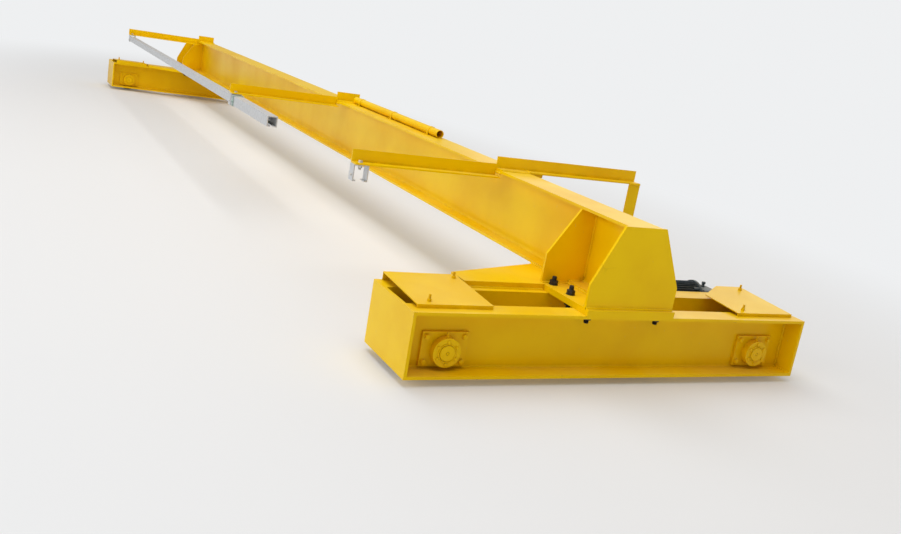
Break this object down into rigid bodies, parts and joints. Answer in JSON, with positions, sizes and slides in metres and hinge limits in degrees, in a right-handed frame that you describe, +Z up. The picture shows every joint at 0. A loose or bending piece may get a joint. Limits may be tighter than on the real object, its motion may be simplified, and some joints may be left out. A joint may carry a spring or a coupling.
{
  "type": "overhead crane bridge",
  "caption": "Yellow single-girder overhead crane bridge: rolled girder on channel end trucks with flanged wheels and travel drives, festoon track on side arms, collector bracket.",
  "frame": {"origin": "at mid-span and midway between the axles, on the level of the lowest points of the wheel flanges", "axes": "+X along the girder towards the end with the collector bracket, +Y along the end trucks towards the travel drives, +Z up"},
  "size_m": [8.485, 1.84, 0.688],
  "materials": {
    "yellow_paint": "gloss enamel over rolled steel, scuffed and dusty",
    "galvanised": "dull galvanised steel",
    "wheel_steel": "turned steel with a worn tread",
    "drive_paint": "dark blue-grey machine enamel, satin"
  },
  "bodies": {
    "bridge": {"girder": "yellow_paint", "near_outer_channel": "yellow_paint", "near_inner_channel": "yellow_paint", "near_end_plates": "yellow_paint", "near_wheel_covers": "yellow_paint", "near_bearings": "yellow_paint", "near_base_plate": "yellow_paint", "near_outer_seat_plate": "yellow_paint", "near_inner_seat_plates": "yellow_paint", "near_corner_gussets": "yellow_paint", "near_gearbox": "drive_paint", "near_motor": "drive_paint", "far_outer_channel": "yellow_paint", "far_inner_channel": "yellow_paint", "far_end_plates": "yellow_paint", "far_wheel_covers": "yellow_paint", "far_bearings": "yellow_paint", "far_base_plate": "yellow_paint", "far_outer_seat_plate": "yellow_paint", "far_inner_seat_plates": "yellow_paint", "far_corner_gussets": "yellow_paint", "far_gearbox": "drive_paint", "far_motor": "drive_paint", "near_festoon_arm": "yellow_paint", "middle_festoon_arm": "yellow_paint", "far_festoon_arm": "yellow_paint", "collector_arm": "yellow_paint", "collector_leg": "yellow_paint", "collector_knee": "yellow_paint", "festoon_track": "galvanised", "track_sleeve": "galvanised", "track_hangers": "galvanised", "conduit": "yellow_paint"},
    "near_idle_wheelset": {"near_idle_wheel": "wheel_steel", "near_idle_axle": "wheel_steel"},
    "near_driven_wheelset": {"near_driven_wheel": "wheel_steel", "near_driven_axle": "wheel_steel"},
    "far_idle_wheelset": {"far_idle_wheel": "wheel_steel", "far_idle_axle": "wheel_steel"},
    "far_driven_wheelset": {"far_driven_wheel": "wheel_steel", "far_driven_axle": "wheel_steel"}
  },
  "joints": [
    {"name": "near_idle_wheel_turn", "type": "hinge", "parent": "bridge", "child": "near_idle_wheelset", "pos_m": [4.05, -0.74, 0.11], "axis": [1, 0, 0], "continuous": true},
    {"name": "near_driven_wheel_turn", "type": "hinge", "parent": "bridge", "child": "near_driven_wheelset", "pos_m": [4.05, 0.74, 0.11], "axis": [1, 0, 0], "continuous": true},
    {"name": "far_idle_wheel_turn", "type": "hinge", "parent": "bridge", "child": "far_idle_wheelset", "pos_m": [-4.05, -0.74, 0.11], "axis": [1, 0, 0], "continuous": true},
    {"name": "far_driven_wheel_turn", "type": "hinge", "parent": "bridge", "child": "far_driven_wheelset", "pos_m": [-4.05, 0.74, 0.11], "axis": [1, 0, 0], "continuous": true}
  ]
}
